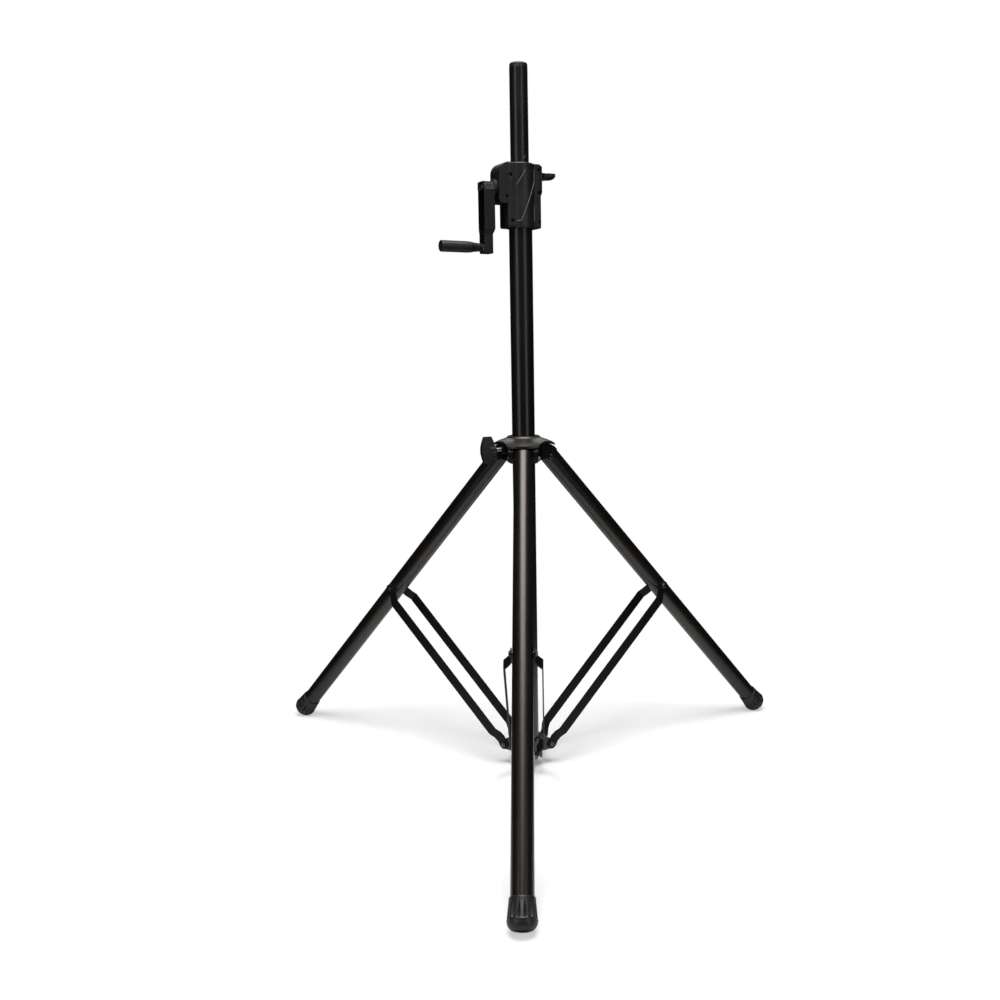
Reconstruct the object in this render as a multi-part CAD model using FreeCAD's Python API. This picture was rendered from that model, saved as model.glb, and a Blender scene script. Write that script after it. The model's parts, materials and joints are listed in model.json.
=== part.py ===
import FreeCAD, Part
import math
import os

# Crank lighting stand: three folding legs on a sliding hub, a fixed outer mast tube and an
# inner mast that a hand crank raises through a worm, a gear and a rack. Millimetres, +Z up.
# Origin: on the mast axis, at floor level. The front leg points along -Y.

os.makedirs("parts", exist_ok=True)

# ---- driving dimensions -------------------------------------------------------------------

# tubes
MAIN_R = 22.5  # outer mast tube, outside radius
MAIN_BORE_R = 20.5
MAIN_BOTTOM_Z = 26.5
MAIN_TOP_Z = 1130.0
MAST_R = 17.3  # lower length of the inner mast
MAST_BORE_R = 15.5
MAST_BOTTOM_Z = 480.0
SPIGOT_R = 17.5  # top spigot that carries the load
SPIGOT_BORE_R = 15.7
SPIGOT_BOTTOM_Z = 1204.2
SPIGOT_TOP_Z = 1377.4
STAND_TOP_Z = 1385.4
LEG_R = 18.5
LEG_BORE_R = 16.9

# leg linkage, in the vertical plane of each leg: distance from the mast axis, and height
LEG_AZIMUTHS = (-90.0, 30.0, 150.0)
PIVOT_R = 46.0  # hub pivots and collar pivots stand at the same radius
HUB_PIVOT_Z = 645.0
COLLAR_PIVOT_Z = 41.0
SPREAD = 43.5  # angle of the braces from vertical when the stand is open
LEG_TILT = 41.83  # angle of the leg tubes from vertical when the stand is open
HUB_OFFSET = 8.8  # hub pivot to the axis of the leg tube
LEG_TOP = 3.0  # leg tube above its hub pivot
FOOT_END = 861.3  # hub pivot to the end of the rubber foot, along the leg
PIVOT_PIN_R = 3.0
RUNNING = 0.05  # radial clearance of a turning pin

# lift mechanism, in the crank frame: u along the crank shaft, v across it
CRANK_AZIMUTH = 210.0
CRANK_Z = 1157.0
CRANK_SHAFT_R = 5.0
MODULE = 2.0
PRESSURE = math.radians(25.0)
GEAR_TEETH = 14
GEAR_PITCH_R = MODULE * GEAR_TEETH / 2
WORM_PITCH_R = 8.0
WORM_TIP_R = 9.7
WORM_ROOT_R = 5.8
RACK_PITCH_U = 17.8
GEAR_U = RACK_PITCH_U + GEAR_PITCH_R
GEAR_Z = CRANK_Z + WORM_PITCH_R + GEAR_PITCH_R
LIFT = 600.0
BACKLASH = 0.25
GEAR_HALF_W = 3.2  # narrower than the slot in the mast that the rack fills

# gearbox housing
HOUSING_BOTTOM_Z = 1084.0
HOUSING_TOP_Z = 1203.0
HOUSING_WALL = 3.0
LOBE_U = 54.0
LOBE_BOTTOM_Z = 1128.0

# crank arm and grip
GRIP_Z = 1046.0
FOLD_U = 76.5
ARM_INNER_U = 61.0
ARM_OUTER_U = 83.3
ARM_BOTTOM_Z = 1035.0
ARM_TOP_Z = 1151.0
ARM_WALL = 1.8

# clamping knobs
HUB_KNOB_Z = 662.5
LOCK_KNOB_Z = 1183.5

# ---- helpers ------------------------------------------------------------------------------


def vec(x, y, z):
    return FreeCAD.Vector(x, y, z)


AXIS_X = vec(1, 0, 0)
AXIS_Y = vec(0, 1, 0)
AXIS_Z = vec(0, 0, 1)
ORIGIN = vec(0, 0, 0)


def box(x0, x1, y0, y1, z0, z1):
    return Part.makeBox(x1 - x0, y1 - y0, z1 - z0, vec(x0, y0, z0))


def rod(radius, start, end):
    """Round bar between two points."""
    along = end - start
    return Part.makeCylinder(radius, along.Length, start, along)


def upright(radius, z0, z1, x=0.0, y=0.0):
    return rod(radius, vec(x, y, z0), vec(x, y, z1))


def ring(outer, inner, z0, z1):
    return upright(outer, z0, z1).cut(upright(inner, z0 - 1, z1 + 1))


def fused(shapes):
    result = shapes[0]
    for shape in shapes[1:]:
        result = result.fuse(shape)
    return result.removeSplitter()


def without(shape, tools):
    for tool in tools:
        shape = shape.cut(tool)
    return shape


def prism(points, start, end, place):
    """Polygon of (a, b) points drawn through place(a, b, c), between two values of c."""
    corners = [place(a, b, start) for a, b in points]
    face = Part.Face(Part.makePolygon(corners + corners[:1]))
    return face.extrude(place(0, 0, end) - place(0, 0, start))


def side_plane(a, b, c):
    """(a, b) is (x, z), c is y."""
    return vec(a, c, b)


def end_plane(a, b, c):
    """(a, b) is (y, z), c is x."""
    return vec(c, a, b)


def level_plane(a, b, c):
    """(a, b) is (x, y), c is z."""
    return vec(a, b, c)


def revolved(profile, base, axis):
    """Solid of revolution of (radius, distance along the axis) points."""
    corners = [vec(r, 0, s) for r, s in profile]
    face = Part.Face(Part.makePolygon(corners + corners[:1]))
    solid = face.revolve(ORIGIN, AXIS_Z, 360)
    solid.Placement = FreeCAD.Placement(base, FreeCAD.Rotation(AXIS_Z, axis))
    return solid


def filleted(shape, radius, wanted):
    """Rounds the straight edges that wanted(middle, direction) picks."""
    edges = []
    for edge in shape.Edges:
        if isinstance(edge.Curve, Part.Line):
            middle = edge.valueAt((edge.FirstParameter + edge.LastParameter) / 2)
            if wanted(middle, edge.Curve.Direction):
                edges.append(edge)
    return shape.makeFillet(radius, edges)


def along(direction, axis):
    return abs(abs(direction.dot(axis)) - 1) < 1e-6


def turned(shape, azimuth):
    result = shape.copy()
    result.rotate(ORIGIN, AXIS_Z, azimuth)
    return result


def in_crank_frame(shape):
    return turned(shape, CRANK_AZIMUTH)


def export(node, shapes):
    solids = []
    for shape in shapes:
        solids.extend(shape.Solids)
    whole = solids[0] if len(solids) == 1 else Part.makeCompound(solids)
    whole.exportStep("parts/" + node + ".step")


def hexagon(across_flats, thickness, base, axis):
    """Hexagonal prism, for nuts."""
    corner = across_flats / math.sqrt(3)
    points = []
    for k in range(6):
        points.append((corner * math.cos(k * math.pi / 3), corner * math.sin(k * math.pi / 3)))
    nut = prism(points, 0, thickness, level_plane)
    nut.Placement = FreeCAD.Placement(base, FreeCAD.Rotation(AXIS_Z, axis))
    return nut


def cross_bolt(x, z, half_grip, radius, head_r, head_h):
    """Bolt through the leg plane at (x, z): a round head on one side, a nut on the other."""
    tail = vec(x, half_grip + head_h + 1.2, z)
    shank = rod(radius, vec(x, -half_grip - 0.5 * head_h, z), tail)
    dome = [
        (0, 0),
        (head_r, 0),
        (head_r, 0.35 * head_h),
        (0.86 * head_r, 0.72 * head_h),
        (0.55 * head_r, head_h),
        (0, head_h),
    ]
    head = revolved(dome, vec(x, -half_grip, z), -AXIS_Y)
    socket = hexagon(0.7 * head_r, head_h, vec(x, -half_grip - 0.45 * head_h, z), -AXIS_Y)
    nut = hexagon(2 * head_r * 0.92, head_h, vec(x, half_grip, z), AXIS_Y)
    nut = nut.cut(rod(radius, vec(x, 0, z), tail + vec(0, 1, 0)))
    return [fused([head, shank]).cut(socket), nut]


# ---- fixed mast tube, lower collar --------------------------------------------------------

export("main_tube", [ring(MAIN_R, MAIN_BORE_R, MAIN_BOTTOM_Z, MAIN_TOP_Z)])

# moulded plug in the open bottom of the tube, hollow from below
plug = upright(MAIN_BORE_R, MAIN_BOTTOM_Z, MAIN_BOTTOM_Z + 14)
plug = plug.cut(upright(17.5, MAIN_BOTTOM_Z - 1, MAIN_BOTTOM_Z + 9))
export("main_tube_plug", [plug])

EAR_T = 3.0
EAR_H = 15.3  # inner face of each collar ear, from the leg plane
BAR_T = 2.5
EYE_H = 18.9  # inner face of a brace's eye, from the leg plane

collar_parts = [upright(26.5, 29, 62)]
for azimuth in LEG_AZIMUTHS:
    outline = [(20, 30), (20, 61), (30, 61), (52, 49.5), (55, 44), (55, 37), (51, 31)]
    for side in (1, -1):
        h0, h1 = sorted((side * EAR_H, side * (EAR_H + EAR_T)))
        ear = prism(outline, h0, h1, side_plane)
        collar_parts.append(turned(ear, azimuth))
    web = box(20, 33, -EAR_H, EAR_H, 33, 58)
    collar_parts.append(turned(web, azimuth))
PEG_X = 27.5
PEG_Y = -7.0
collar_parts.append(upright(4.6, 33, 55, PEG_X, PEG_Y))
collar = fused(collar_parts)
collar_cuts = [upright(MAIN_R, 20, 70)]
collar_cuts.append(upright(2.6, 20, 45, PEG_X, PEG_Y))
for azimuth in LEG_AZIMUTHS:
    hole = rod(PIVOT_PIN_R, vec(PIVOT_R, -30, COLLAR_PIVOT_Z), vec(PIVOT_R, 30, COLLAR_PIVOT_Z))
    collar_cuts.append(turned(hole, azimuth))
collar = without(collar, collar_cuts)
export("lower_collar", [collar])

peg_profile = [(0, 0), (1.6, 0), (2.6, 1.4), (2.6, 27), (0, 27)]
export("collar_peg", [revolved(peg_profile, vec(PEG_X, PEG_Y, 17.5), AXIS_Z)])

bolts = []
for azimuth in LEG_AZIMUTHS:
    for piece in cross_bolt(PIVOT_R, COLLAR_PIVOT_Z, EYE_H + BAR_T + 0.3, PIVOT_PIN_R, 5.2, 2.6):
        bolts.append(turned(piece, azimuth))
export("collar_bolts", bolts)

# ---- braces: two joggled flat bars to each leg --------------------------------------------

BAR_HALF_W = 10.0
BAR_MIDDLE_H = 32.45  # inner face of the straight middle of a bar
EYE_R = 9.6
spread = math.radians(SPREAD)
HALF_HEIGHT = (HUB_PIVOT_Z - COLLAR_PIVOT_Z) / 2
BRACE_LENGTH = HALF_HEIGHT / math.cos(spread)
BRACE_PIN_R = PIVOT_R + HALF_HEIGHT * math.tan(spread)
BRACE_PIN_Z = COLLAR_PIVOT_Z + HALF_HEIGHT
# how far the straight part of a bar runs inboard of the line between its two pins
BAR_SHIFT_LOW = 7.0
BAR_SHIFT_HIGH = -3.0


def brace_bar(side):
    """One bar, drawn lying along +X from its collar pin, then leaned over."""
    length = BRACE_LENGTH
    low, high = BAR_SHIFT_LOW, BAR_SHIFT_HIGH
    half = BAR_HALF_W
    flat = [
        (3, -EYE_R),
        (24, low - half),
        (length - 24, high - half),
        (length, -EYE_R),
        (length, EYE_R),
        (length - 24, high + half),
        (24, low + half),
        (0, EYE_R),
    ]
    outline = prism(flat, -50, 50, level_plane)
    eyes = [rod(EYE_R, vec(0, 0, -50), vec(0, 0, 50)), rod(EYE_R, vec(length, 0, -50), vec(length, 0, 50))]
    outline = fused([outline] + eyes)
    # the strip seen edge on: eyes close to the leg plane, the middle joggled out
    ends = ((-12, EYE_H), (13, EYE_H), (35, BAR_MIDDLE_H), (length - 35, BAR_MIDDLE_H))
    ends = ends + ((length - 13, EYE_H), (length + 12, EYE_H))
    strip = [(x, side * h) for x, h in ends]
    strip = strip + [(x, side * (h + BAR_T)) for x, h in reversed(ends)]
    bar = outline.common(prism(strip, -30, 30, side_plane))
    for x in (0, length):
        bar = bar.cut(rod(PIVOT_PIN_R + RUNNING, vec(x, 0, -60), vec(x, 0, 60)))
    # local X along the bar, local Y towards the mast side, local Z across the leg plane
    lean = FreeCAD.Matrix(
        math.sin(spread), -math.cos(spread), 0, PIVOT_R,
        0, 0, -1, 0,
        math.cos(spread), math.sin(spread), 0, COLLAR_PIVOT_Z,
        0, 0, 0, 1,
    )
    bar.Placement = FreeCAD.Placement(lean)
    return bar


for number, azimuth in enumerate(LEG_AZIMUTHS, 1):
    bars = [turned(brace_bar(side), azimuth) for side in (1, -1)]
    export("brace_%d_bars" % number, bars)

# ---- legs ---------------------------------------------------------------------------------

tilt = math.radians(LEG_TILT)
DOWN = vec(math.sin(tilt), 0, -math.cos(tilt))  # along the leg, towards the foot
OUT = vec(math.cos(tilt), 0, math.sin(tilt))  # square to the leg, away from the mast
LEG_START = vec(PIVOT_R, 0, HUB_PIVOT_Z) + OUT * HUB_OFFSET


def on_leg(distance):
    return LEG_START + DOWN * distance


FOOT_R = 23.3
FOOT_CORNER_R = 13.1
FOOT_LENGTH = 48.0
FOOT_TOP_R = 20.8
FOOT_LIP = 2.4
TUBE_END = FOOT_END - 12.0
FLUTES = 18


def rubber_foot():
    """Slip-on rubber foot: domed end, tapered flutes, rounded lip; worn flat where it stands."""
    profile = [(0, 0), (FOOT_R - FOOT_CORNER_R, 0)]
    for k in range(1, 9):
        angle = math.radians(90.0 * k / 8)
        x = FOOT_R - FOOT_CORNER_R + FOOT_CORNER_R * math.sin(angle)
        profile.append((x, FOOT_CORNER_R - FOOT_CORNER_R * math.cos(angle)))
    profile.append((FOOT_R - 0.1, FOOT_CORNER_R + 3))
    profile.append((FOOT_TOP_R, FOOT_LENGTH - FOOT_LIP))
    profile.append((FOOT_TOP_R - 0.7, FOOT_LENGTH - 0.5))
    profile.append((LEG_R + 0.3, FOOT_LENGTH))
    profile.append((0, FOOT_LENGTH))
    foot = revolved(profile, ORIGIN, AXIS_Z)
    flutes = []
    flute_low, flute_high = FOOT_CORNER_R + 5.5, FOOT_LENGTH - 7.0
    for k in range(FLUTES):
        groove = Part.makeCone(
            2.3, 1.0, flute_high - flute_low, vec(FOOT_R + 1.1, 0, flute_low), vec(-0.07, 0, 1)
        )
        flutes.append(turned(groove, 360.0 * k / FLUTES))
    foot = without(foot, [Part.makeCompound(flutes)])
    foot = foot.cut(rod(LEG_R, vec(0, 0, FOOT_END - TUBE_END), vec(0, 0, FOOT_LENGTH + 5)))
    foot.Placement = FreeCAD.Placement(on_leg(FOOT_END), FreeCAD.Rotation(AXIS_Z, -DOWN))
    return foot.cut(box(400, 800, -60, 60, -60, 0))


foot = rubber_foot()
leg_tube = rod(LEG_R, on_leg(-LEG_TOP + 1.6), on_leg(TUBE_END))
leg_tube = leg_tube.cut(rod(LEG_BORE_R, on_leg(-30), on_leg(TUBE_END + 5)))
hub_hole = rod(
    PIVOT_PIN_R + RUNNING, vec(PIVOT_R, -40, HUB_PIVOT_Z), vec(PIVOT_R, 40, HUB_PIVOT_Z)
)
brace_hole = rod(PIVOT_PIN_R, vec(BRACE_PIN_R, -40, BRACE_PIN_Z), vec(BRACE_PIN_R, 40, BRACE_PIN_Z))
leg_tube = without(leg_tube, [hub_hole, brace_hole])
# plug that closes the top of the leg; its body fills the tube around the hub pivot
top_plug = fused(
    [
        rod(LEG_R - 0.4, on_leg(-LEG_TOP), on_leg(-LEG_TOP + 1.6)),
        rod(LEG_BORE_R, on_leg(-LEG_TOP + 1.0), on_leg(16)),
    ]
)
top_plug = top_plug.cut(rod(LEG_BORE_R - 3, on_leg(9), on_leg(20))).cut(hub_hole)

for number, azimuth in enumerate(LEG_AZIMUTHS, 1):
    export("leg_%d_tube" % number, [turned(leg_tube, azimuth)])
    export("leg_%d_top_plug" % number, [turned(top_plug, azimuth)])
    export("leg_%d_foot" % number, [turned(foot, azimuth)])
    bolt = cross_bolt(BRACE_PIN_R, BRACE_PIN_Z, EYE_H + BAR_T + 0.3, PIVOT_PIN_R, 5.6, 3.0)
    export("leg_%d_brace_bolt" % number, [turned(piece, azimuth) for piece in bolt])

# ---- sliding hub --------------------------------------------------------------------------

CHEEK_H = 19.4  # inner face of each cheek, from the leg plane
CHEEK_T = 9.5
HUB_BOTTOM_Z = 635.5
HUB_BODY_TOP_Z = 671.0
HUB_BORE_R = 24.6
LINER_R = 22.58

hub_parts = [upright(33, HUB_BOTTOM_Z + 2, HUB_BODY_TOP_Z), upright(28, HUB_BOTTOM_Z - 3, 684)]
cheek_outline = [
    (24, 641.5),
    (38, 641.5),
    (42, 638.6),
    (50, 638.6),
    (55, 643),
    (59, 650),
    (59.5, 660),
    (54, 665),
    (46, 669.5),
    (40, HUB_BODY_TOP_Z),
    (24, HUB_BODY_TOP_Z),
]
for azimuth in LEG_AZIMUTHS:
    for side in (1, -1):
        h0, h1 = sorted((side * CHEEK_H, side * (CHEEK_H + CHEEK_T)))
        hub_parts.append(turned(prism(cheek_outline, h0, h1, side_plane), azimuth))
    # flat block between two legs; the one facing the knob carries a long boss
    reach = 51.0 if azimuth + 60 == CRANK_AZIMUTH else 38.0
    block = filleted(
        box(20, 38, -21, 21, HUB_BOTTOM_Z + 4, HUB_BODY_TOP_Z), 3, lambda m, d: along(d, AXIS_Z) and m.x > 37
    )
    hub_parts.append(turned(block, azimuth + 60))
    if reach > 40:
        boss = rod(9.0, vec(30, 0, HUB_KNOB_Z), vec(reach, 0, HUB_KNOB_Z))
        hub_parts.append(turned(boss, azimuth + 60))
hub = fused(hub_parts)
hub_cuts = [upright(HUB_BORE_R, 600, 700)]
for azimuth in LEG_AZIMUTHS:
    hub_cuts.append(turned(box(29, 90, -CHEEK_H, CHEEK_H, 600, 700), azimuth))
    hole = rod(PIVOT_PIN_R, vec(PIVOT_R, -40, HUB_PIVOT_Z), vec(PIVOT_R, 40, HUB_PIVOT_Z))
    hub_cuts.append(turned(hole, azimuth))
HUB_STUD_R = 4.0
stud_hole = rod(HUB_STUD_R + RUNNING, vec(15, 0, HUB_KNOB_Z), vec(80, 0, HUB_KNOB_Z))
hub_cuts.append(in_crank_frame(stud_hole))
hub = without(hub, hub_cuts)
export("hub_body", [hub])

liner = ring(HUB_BORE_R, LINER_R, HUB_BOTTOM_Z - 3, 684)
pad_hole = rod(HUB_STUD_R + 1.3, vec(15, 0, HUB_KNOB_Z), vec(80, 0, HUB_KNOB_Z))
export("hub_liner", [liner.cut(in_crank_frame(pad_hole))])

bolts = []
for azimuth in LEG_AZIMUTHS:
    for piece in cross_bolt(PIVOT_R, HUB_PIVOT_Z, CHEEK_H + CHEEK_T, PIVOT_PIN_R, 5.4, 3.2):
        bolts.append(turned(piece, azimuth))
export("hub_bolts", bolts)

# domed cover, open underneath and hollowed between the legs
COVER_T = 2.4
COVER_R = 62.0
VALLEY_R = 50.0  # the cover's edge midway between two legs
HOLLOW_R = 132.0


def dome(extra):
    """The cover's domed envelope, grown by extra."""
    profile = [
        (0, 660),
        (67 + extra, 660),
        (67 + extra, 667.0 + extra),
        (62 + extra, 671.4 + extra),
        (56 + extra, 675.0 + extra),
        (48 + extra, 678.6 + extra),
        (40 + extra, 681.4 + extra),
        (34 + extra, 683.8 + extra),
        (31 + extra, 687 + extra),
        (0, 687 + extra),
    ]
    return revolved(profile, ORIGIN, AXIS_Z)


def cover_plan():
    """Round in plan, with a shallow hollow cut out of its edge between each two legs."""
    shape = upright(COVER_R, 650, 700)
    for azimuth in LEG_AZIMUTHS:
        hollow = Part.makeCylinder(HOLLOW_R, 60, vec(VALLEY_R + HOLLOW_R, 0, 645))
        shape = shape.cut(turned(hollow, azimuth + 60))
    return shape


cover = dome(0).common(cover_plan())
inside = dome(-COVER_T).common(upright(COVER_R + 5, 650, 700))
cover = cover.cut(inside)
cover_cuts = [upright(28.0, 600, 700), ring(90, 1, 600, 662)]
cover = without(cover, cover_cuts)
cover = cover.cut(hub)
export("hub_cover", [cover])

# ---- clamping knobs: a wing on a threaded stud with a soft tip -----------------------------


def wing(x0, x1, z, half_height, thickness):
    """Wing of a knob in the X-Z plane: broad in the middle, narrower at its two tips."""
    inner = [(x0 + 6, -half_height), (x0 + 1, -0.55 * half_height), (x0, -7)]
    inner = inner + [(x0, 7), (x0 + 1, 0.55 * half_height), (x0 + 6, half_height)]
    outer = [
        (x1 - 5.5, half_height),
        (x1 - 2.2, 0.62 * half_height),
        (x1, 0.2 * half_height),
        (x1, -0.2 * half_height),
        (x1 - 2.2, -0.62 * half_height),
        (x1 - 5.5, -half_height),
    ]
    points = [(x, z + dz) for x, dz in inner + outer]
    blade = prism(points, -thickness / 2, thickness / 2, side_plane)
    # the blade thins towards its tips
    taper = [
        (-0.28 * thickness, -half_height - 1),
        (-0.5 * thickness, -6),
        (-0.5 * thickness, 6),
        (-0.28 * thickness, half_height + 1),
        (0.28 * thickness, half_height + 1),
        (0.5 * thickness, 6),
        (0.5 * thickness, -6),
        (0.28 * thickness, -half_height - 1),
    ]
    section = prism([(y, z + dz) for y, dz in taper], x0 - 30, x1 + 5, end_plane)
    return blade.common(section)


def knob(x0, x1, neck, z):
    """Wing and the round neck that grips the stud's head end."""
    body = fused([wing(x0, x1, z, 26.3, 10.0), rod(7.5, vec(neck, 0, z), vec(x0 + 10, 0, z))])
    return body.cut(rod(HUB_STUD_R, vec(neck - 5, 0, z), vec(x0 + 12, 0, z)))


def stud(x0, x1, z):
    profile = [(0, 0), (HUB_STUD_R - 1, 0), (HUB_STUD_R, 1), (HUB_STUD_R, x1 - x0), (0, x1 - x0)]
    return revolved(profile, vec(x0, 0, z), AXIS_X)


def tip(x0, x1, z):
    """Soft round pad that bears on the tube."""
    return revolved([(0, 0), (3.2, 0), (4, 0.8), (4, x1 - x0), (0, x1 - x0)], vec(x0, 0, z), AXIS_X)


HUB_TIP_X = MAIN_R + 0.3
export("hub_knob", [in_crank_frame(knob(66.5, 94.0, 63.5, HUB_KNOB_Z))])
export("hub_knob_stud", [in_crank_frame(stud(HUB_TIP_X + 3, 77, HUB_KNOB_Z))])
export("hub_knob_tip", [in_crank_frame(tip(HUB_TIP_X, HUB_TIP_X + 3, HUB_KNOB_Z))])

LOCK_AZIMUTH = CRANK_AZIMUTH - 180
LOCK_TIP_X = MAST_R + 0.3


def lying(shape):
    """Turns a knob a quarter turn about its own stud, so that its wing lies level."""
    result = shape.copy()
    result.rotate(vec(0, 0, LOCK_KNOB_Z), AXIS_X, 90)
    return turned(result, LOCK_AZIMUTH)


export("mast_lock_knob", [lying(knob(43.5, 68.5, 41.6, LOCK_KNOB_Z))])
export("mast_lock_stud", [lying(stud(LOCK_TIP_X + 3, 53, LOCK_KNOB_Z))])
export("mast_lock_tip", [lying(tip(LOCK_TIP_X, LOCK_TIP_X + 3, LOCK_KNOB_Z))])

# ---- gearbox housing: front and rear shell, in the crank frame -----------------------------

BULGE_R = 28.0
RIM = 1.6  # broken edge at the top and bottom of the bulge
BUSH_R = 22.0
GUIDE_BOTTOM_Z = 1108.0
CAVITY_BOTTOM_Z = MAIN_TOP_Z + 1.0


def rounded_block(x0, x1, half_y, z0, z1, radius):
    block = box(x0, x1, -half_y, half_y, z0, z1)
    return filleted(block, radius, lambda m, d: along(d, AXIS_Z))


def housing_envelope(inset):
    """Outside shape of the gearbox, or the same shape inset all round."""
    low, high = HOUSING_BOTTOM_Z + inset, HOUSING_TOP_Z - inset
    body = rounded_block(-36.5 + inset, 36 - inset, 20 - inset, low, high, 5.5 - inset)
    bulge_profile = [
        (0, low),
        (BULGE_R - inset - RIM, low),
        (BULGE_R - inset, low + RIM),
        (BULGE_R - inset, high - RIM),
        (BULGE_R - inset - RIM, high),
        (0, high),
    ]
    bulge = revolved(bulge_profile, ORIGIN, AXIS_Z)
    if inset == 0:
        body = filleted(body, 3.5, lambda m, d: m.z < low + 0.01 or m.z > high - 0.01)
    lobe = box(0, LOBE_U - inset, -18.5 + inset, 18.5 - inset, LOBE_BOTTOM_Z + inset, high)
    lobe = filleted(lobe, 22 - inset, lambda m, d: along(d, AXIS_Y) and m.x > 30 and m.z > CRANK_Z)
    lobe = filleted(lobe, 6 - inset, lambda m, d: along(d, AXIS_Y) and m.x > 30 and m.z < CRANK_Z)
    shapes = [body, bulge, lobe]
    if inset == 0:
        # raised boss around the mast lock
        boss = prism(
            [(-30, 1146), (-36.5, 1146), (-38.5, 1152), (-38.5, 1198), (-36.5, 1200.5), (-30, 1200.5)],
            -18, 18, side_plane,
        )
        shapes.append(boss)
        shapes.append(rod(9, vec(-38, 0, LOCK_KNOB_Z), vec(-41, 0, LOCK_KNOB_Z)))
    return fused(shapes)


def front_groove(start, end):
    """Shallow moulded line across the front bulge, between two (u, z) points."""
    du, dz = end[0] - start[0], end[1] - start[1]
    length = math.hypot(du, dz)
    strip = box(-0.5, length + 0.5, 10, 40, -0.7, 0.7)
    strip.rotate(ORIGIN, AXIS_Y, -math.degrees(math.atan2(dz, du)))
    strip.translate(vec(start[0], 0, start[1]))
    return strip.common(ring(BULGE_R + 1, BULGE_R - 0.7, 1080, 1210))


housing = housing_envelope(0)
cavity = housing_envelope(HOUSING_WALL).common(box(-60, 60, -40, 40, CAVITY_BOTTOM_Z, 1210))
housing = housing.cut(cavity)

# inner walls that carry the shaft, the axle, the screws and the mast bush
SCREWS = ((38.0, 1140.0), (27.5, 1096.0), (-30.5, 1192.0), (-30.5, 1150.0), (-30.5, 1096.0))
INNER_BEARING = (20.9, 24.0)
OUTER_BEARING = (45.0, 54.0)
inner_walls = [
    box(INNER_BEARING[0], INNER_BEARING[1], -26, 26, CAVITY_BOTTOM_Z, CRANK_Z + 4),
    rod(11, vec(OUTER_BEARING[0], 0, CRANK_Z), vec(52, 0, CRANK_Z)),
    rod(6.5, vec(GEAR_U, 3.7, GEAR_Z), vec(GEAR_U, 18, GEAR_Z)),
    rod(6.5, vec(GEAR_U, -18, GEAR_Z), vec(GEAR_U, -3.7, GEAR_Z)),
    ring(BUSH_R + 3, BUSH_R, GEAR_Z + 17.2, 1201),
    rod(9, vec(-34, 0, LOCK_KNOB_Z), vec(-26, 0, LOCK_KNOB_Z)),
]
for u, z in SCREWS:
    inner_walls.append(rod(4.2, vec(u, -18, z), vec(u, 18, z)))
inner_walls = [wall.common(housing_envelope(1.0)) for wall in inner_walls]
housing = fused([housing] + inner_walls)

housing_cuts = [
    upright(MAIN_R, 1080, CAVITY_BOTTOM_Z),
    upright(BUSH_R, GEAR_Z + 17.2, 1210),
    rod(7.0, vec(INNER_BEARING[0] - 1, 0, CRANK_Z), vec(30, 0, CRANK_Z)),
    rod(8.0, vec(40, 0, CRANK_Z), vec(60, 0, CRANK_Z)),
    rod(HUB_STUD_R + RUNNING, vec(-50, 0, LOCK_KNOB_Z), vec(-20, 0, LOCK_KNOB_Z)),
    rod(3.0, vec(GEAR_U, -16, GEAR_Z), vec(GEAR_U, 30, GEAR_Z)),
    rod(4.6, vec(GEAR_U, 13.5, GEAR_Z), vec(GEAR_U, 30, GEAR_Z)),
]
for u, z in SCREWS:
    housing_cuts.append(rod(1.6, vec(u, -14, z), vec(u, 30, z)))
    housing_cuts.append(rod(3.6, vec(u, 13, z), vec(u, 30, z)))
groove_paths = [
    ((-19.0, 1192.0), (-19.0, 1170.0)),
    ((-19.0, 1170.0), (12.0, 1096.5)),
    ((12.0, 1096.5), (18.5, 1096.5)),
    ((3.4, 1189.0), (18.5, 1162.5)),
    ((-19.0, 1127.0), (-19.0, 1096.5)),
]
for start, end in groove_paths:
    housing_cuts.append(front_groove(start, end))
housing = without(housing, housing_cuts)
front = housing.common(box(-80, 80, 0, 60, 1050, 1250))
rear = housing.common(box(-80, 80, -60, 0, 1050, 1250))
export("housing_front", [in_crank_frame(front)])
export("housing_rear", [in_crank_frame(rear)])

screws = []
for u, z in SCREWS:
    profile = [(0, 0), (1.6, 0), (1.6, 25.5), (3.3, 25.5), (3.3, 27.5), (2.2, 28.3), (0, 28.3)]
    screw = revolved(profile, vec(u, -12.5, z), AXIS_Y)
    screws.append(in_crank_frame(screw.cut(hexagon(2.4, 3, vec(u, 14.2, z), AXIS_Y))))
export("housing_screws", screws)

# ---- bushes -------------------------------------------------------------------------------

NOTCH = box(10, 21, -3.9, 3.9, 1000, 1300)  # lets the rack through
top_bush = ring(BUSH_R, MAST_R + 0.08, GEAR_Z + 17.2, HOUSING_TOP_Z + 0.9)
export("mast_top_bush", [in_crank_frame(top_bush.cut(NOTCH))])
guide = ring(MAIN_BORE_R, MAST_R + 0.08, GUIDE_BOTTOM_Z, MAIN_TOP_Z)
export("mast_guide_bush", [in_crank_frame(guide.cut(NOTCH))])


def shaft_bush(u0, u1, radius):
    outer = rod(radius, vec(u0, 0, CRANK_Z), vec(u1, 0, CRANK_Z))
    return outer.cut(rod(CRANK_SHAFT_R + RUNNING, vec(u0 - 1, 0, CRANK_Z), vec(u1 + 1, 0, CRANK_Z)))


bushes = [shaft_bush(INNER_BEARING[0], INNER_BEARING[1], 7.0), shaft_bush(45.0, 54.0, 8.0)]
export("worm_shaft_bushes", [in_crank_frame(bush) for bush in bushes])

# ---- worm, gear and rack -------------------------------------------------------------------

WORM_U = (25.2, 44.2)
PITCH = math.pi * MODULE


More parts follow.
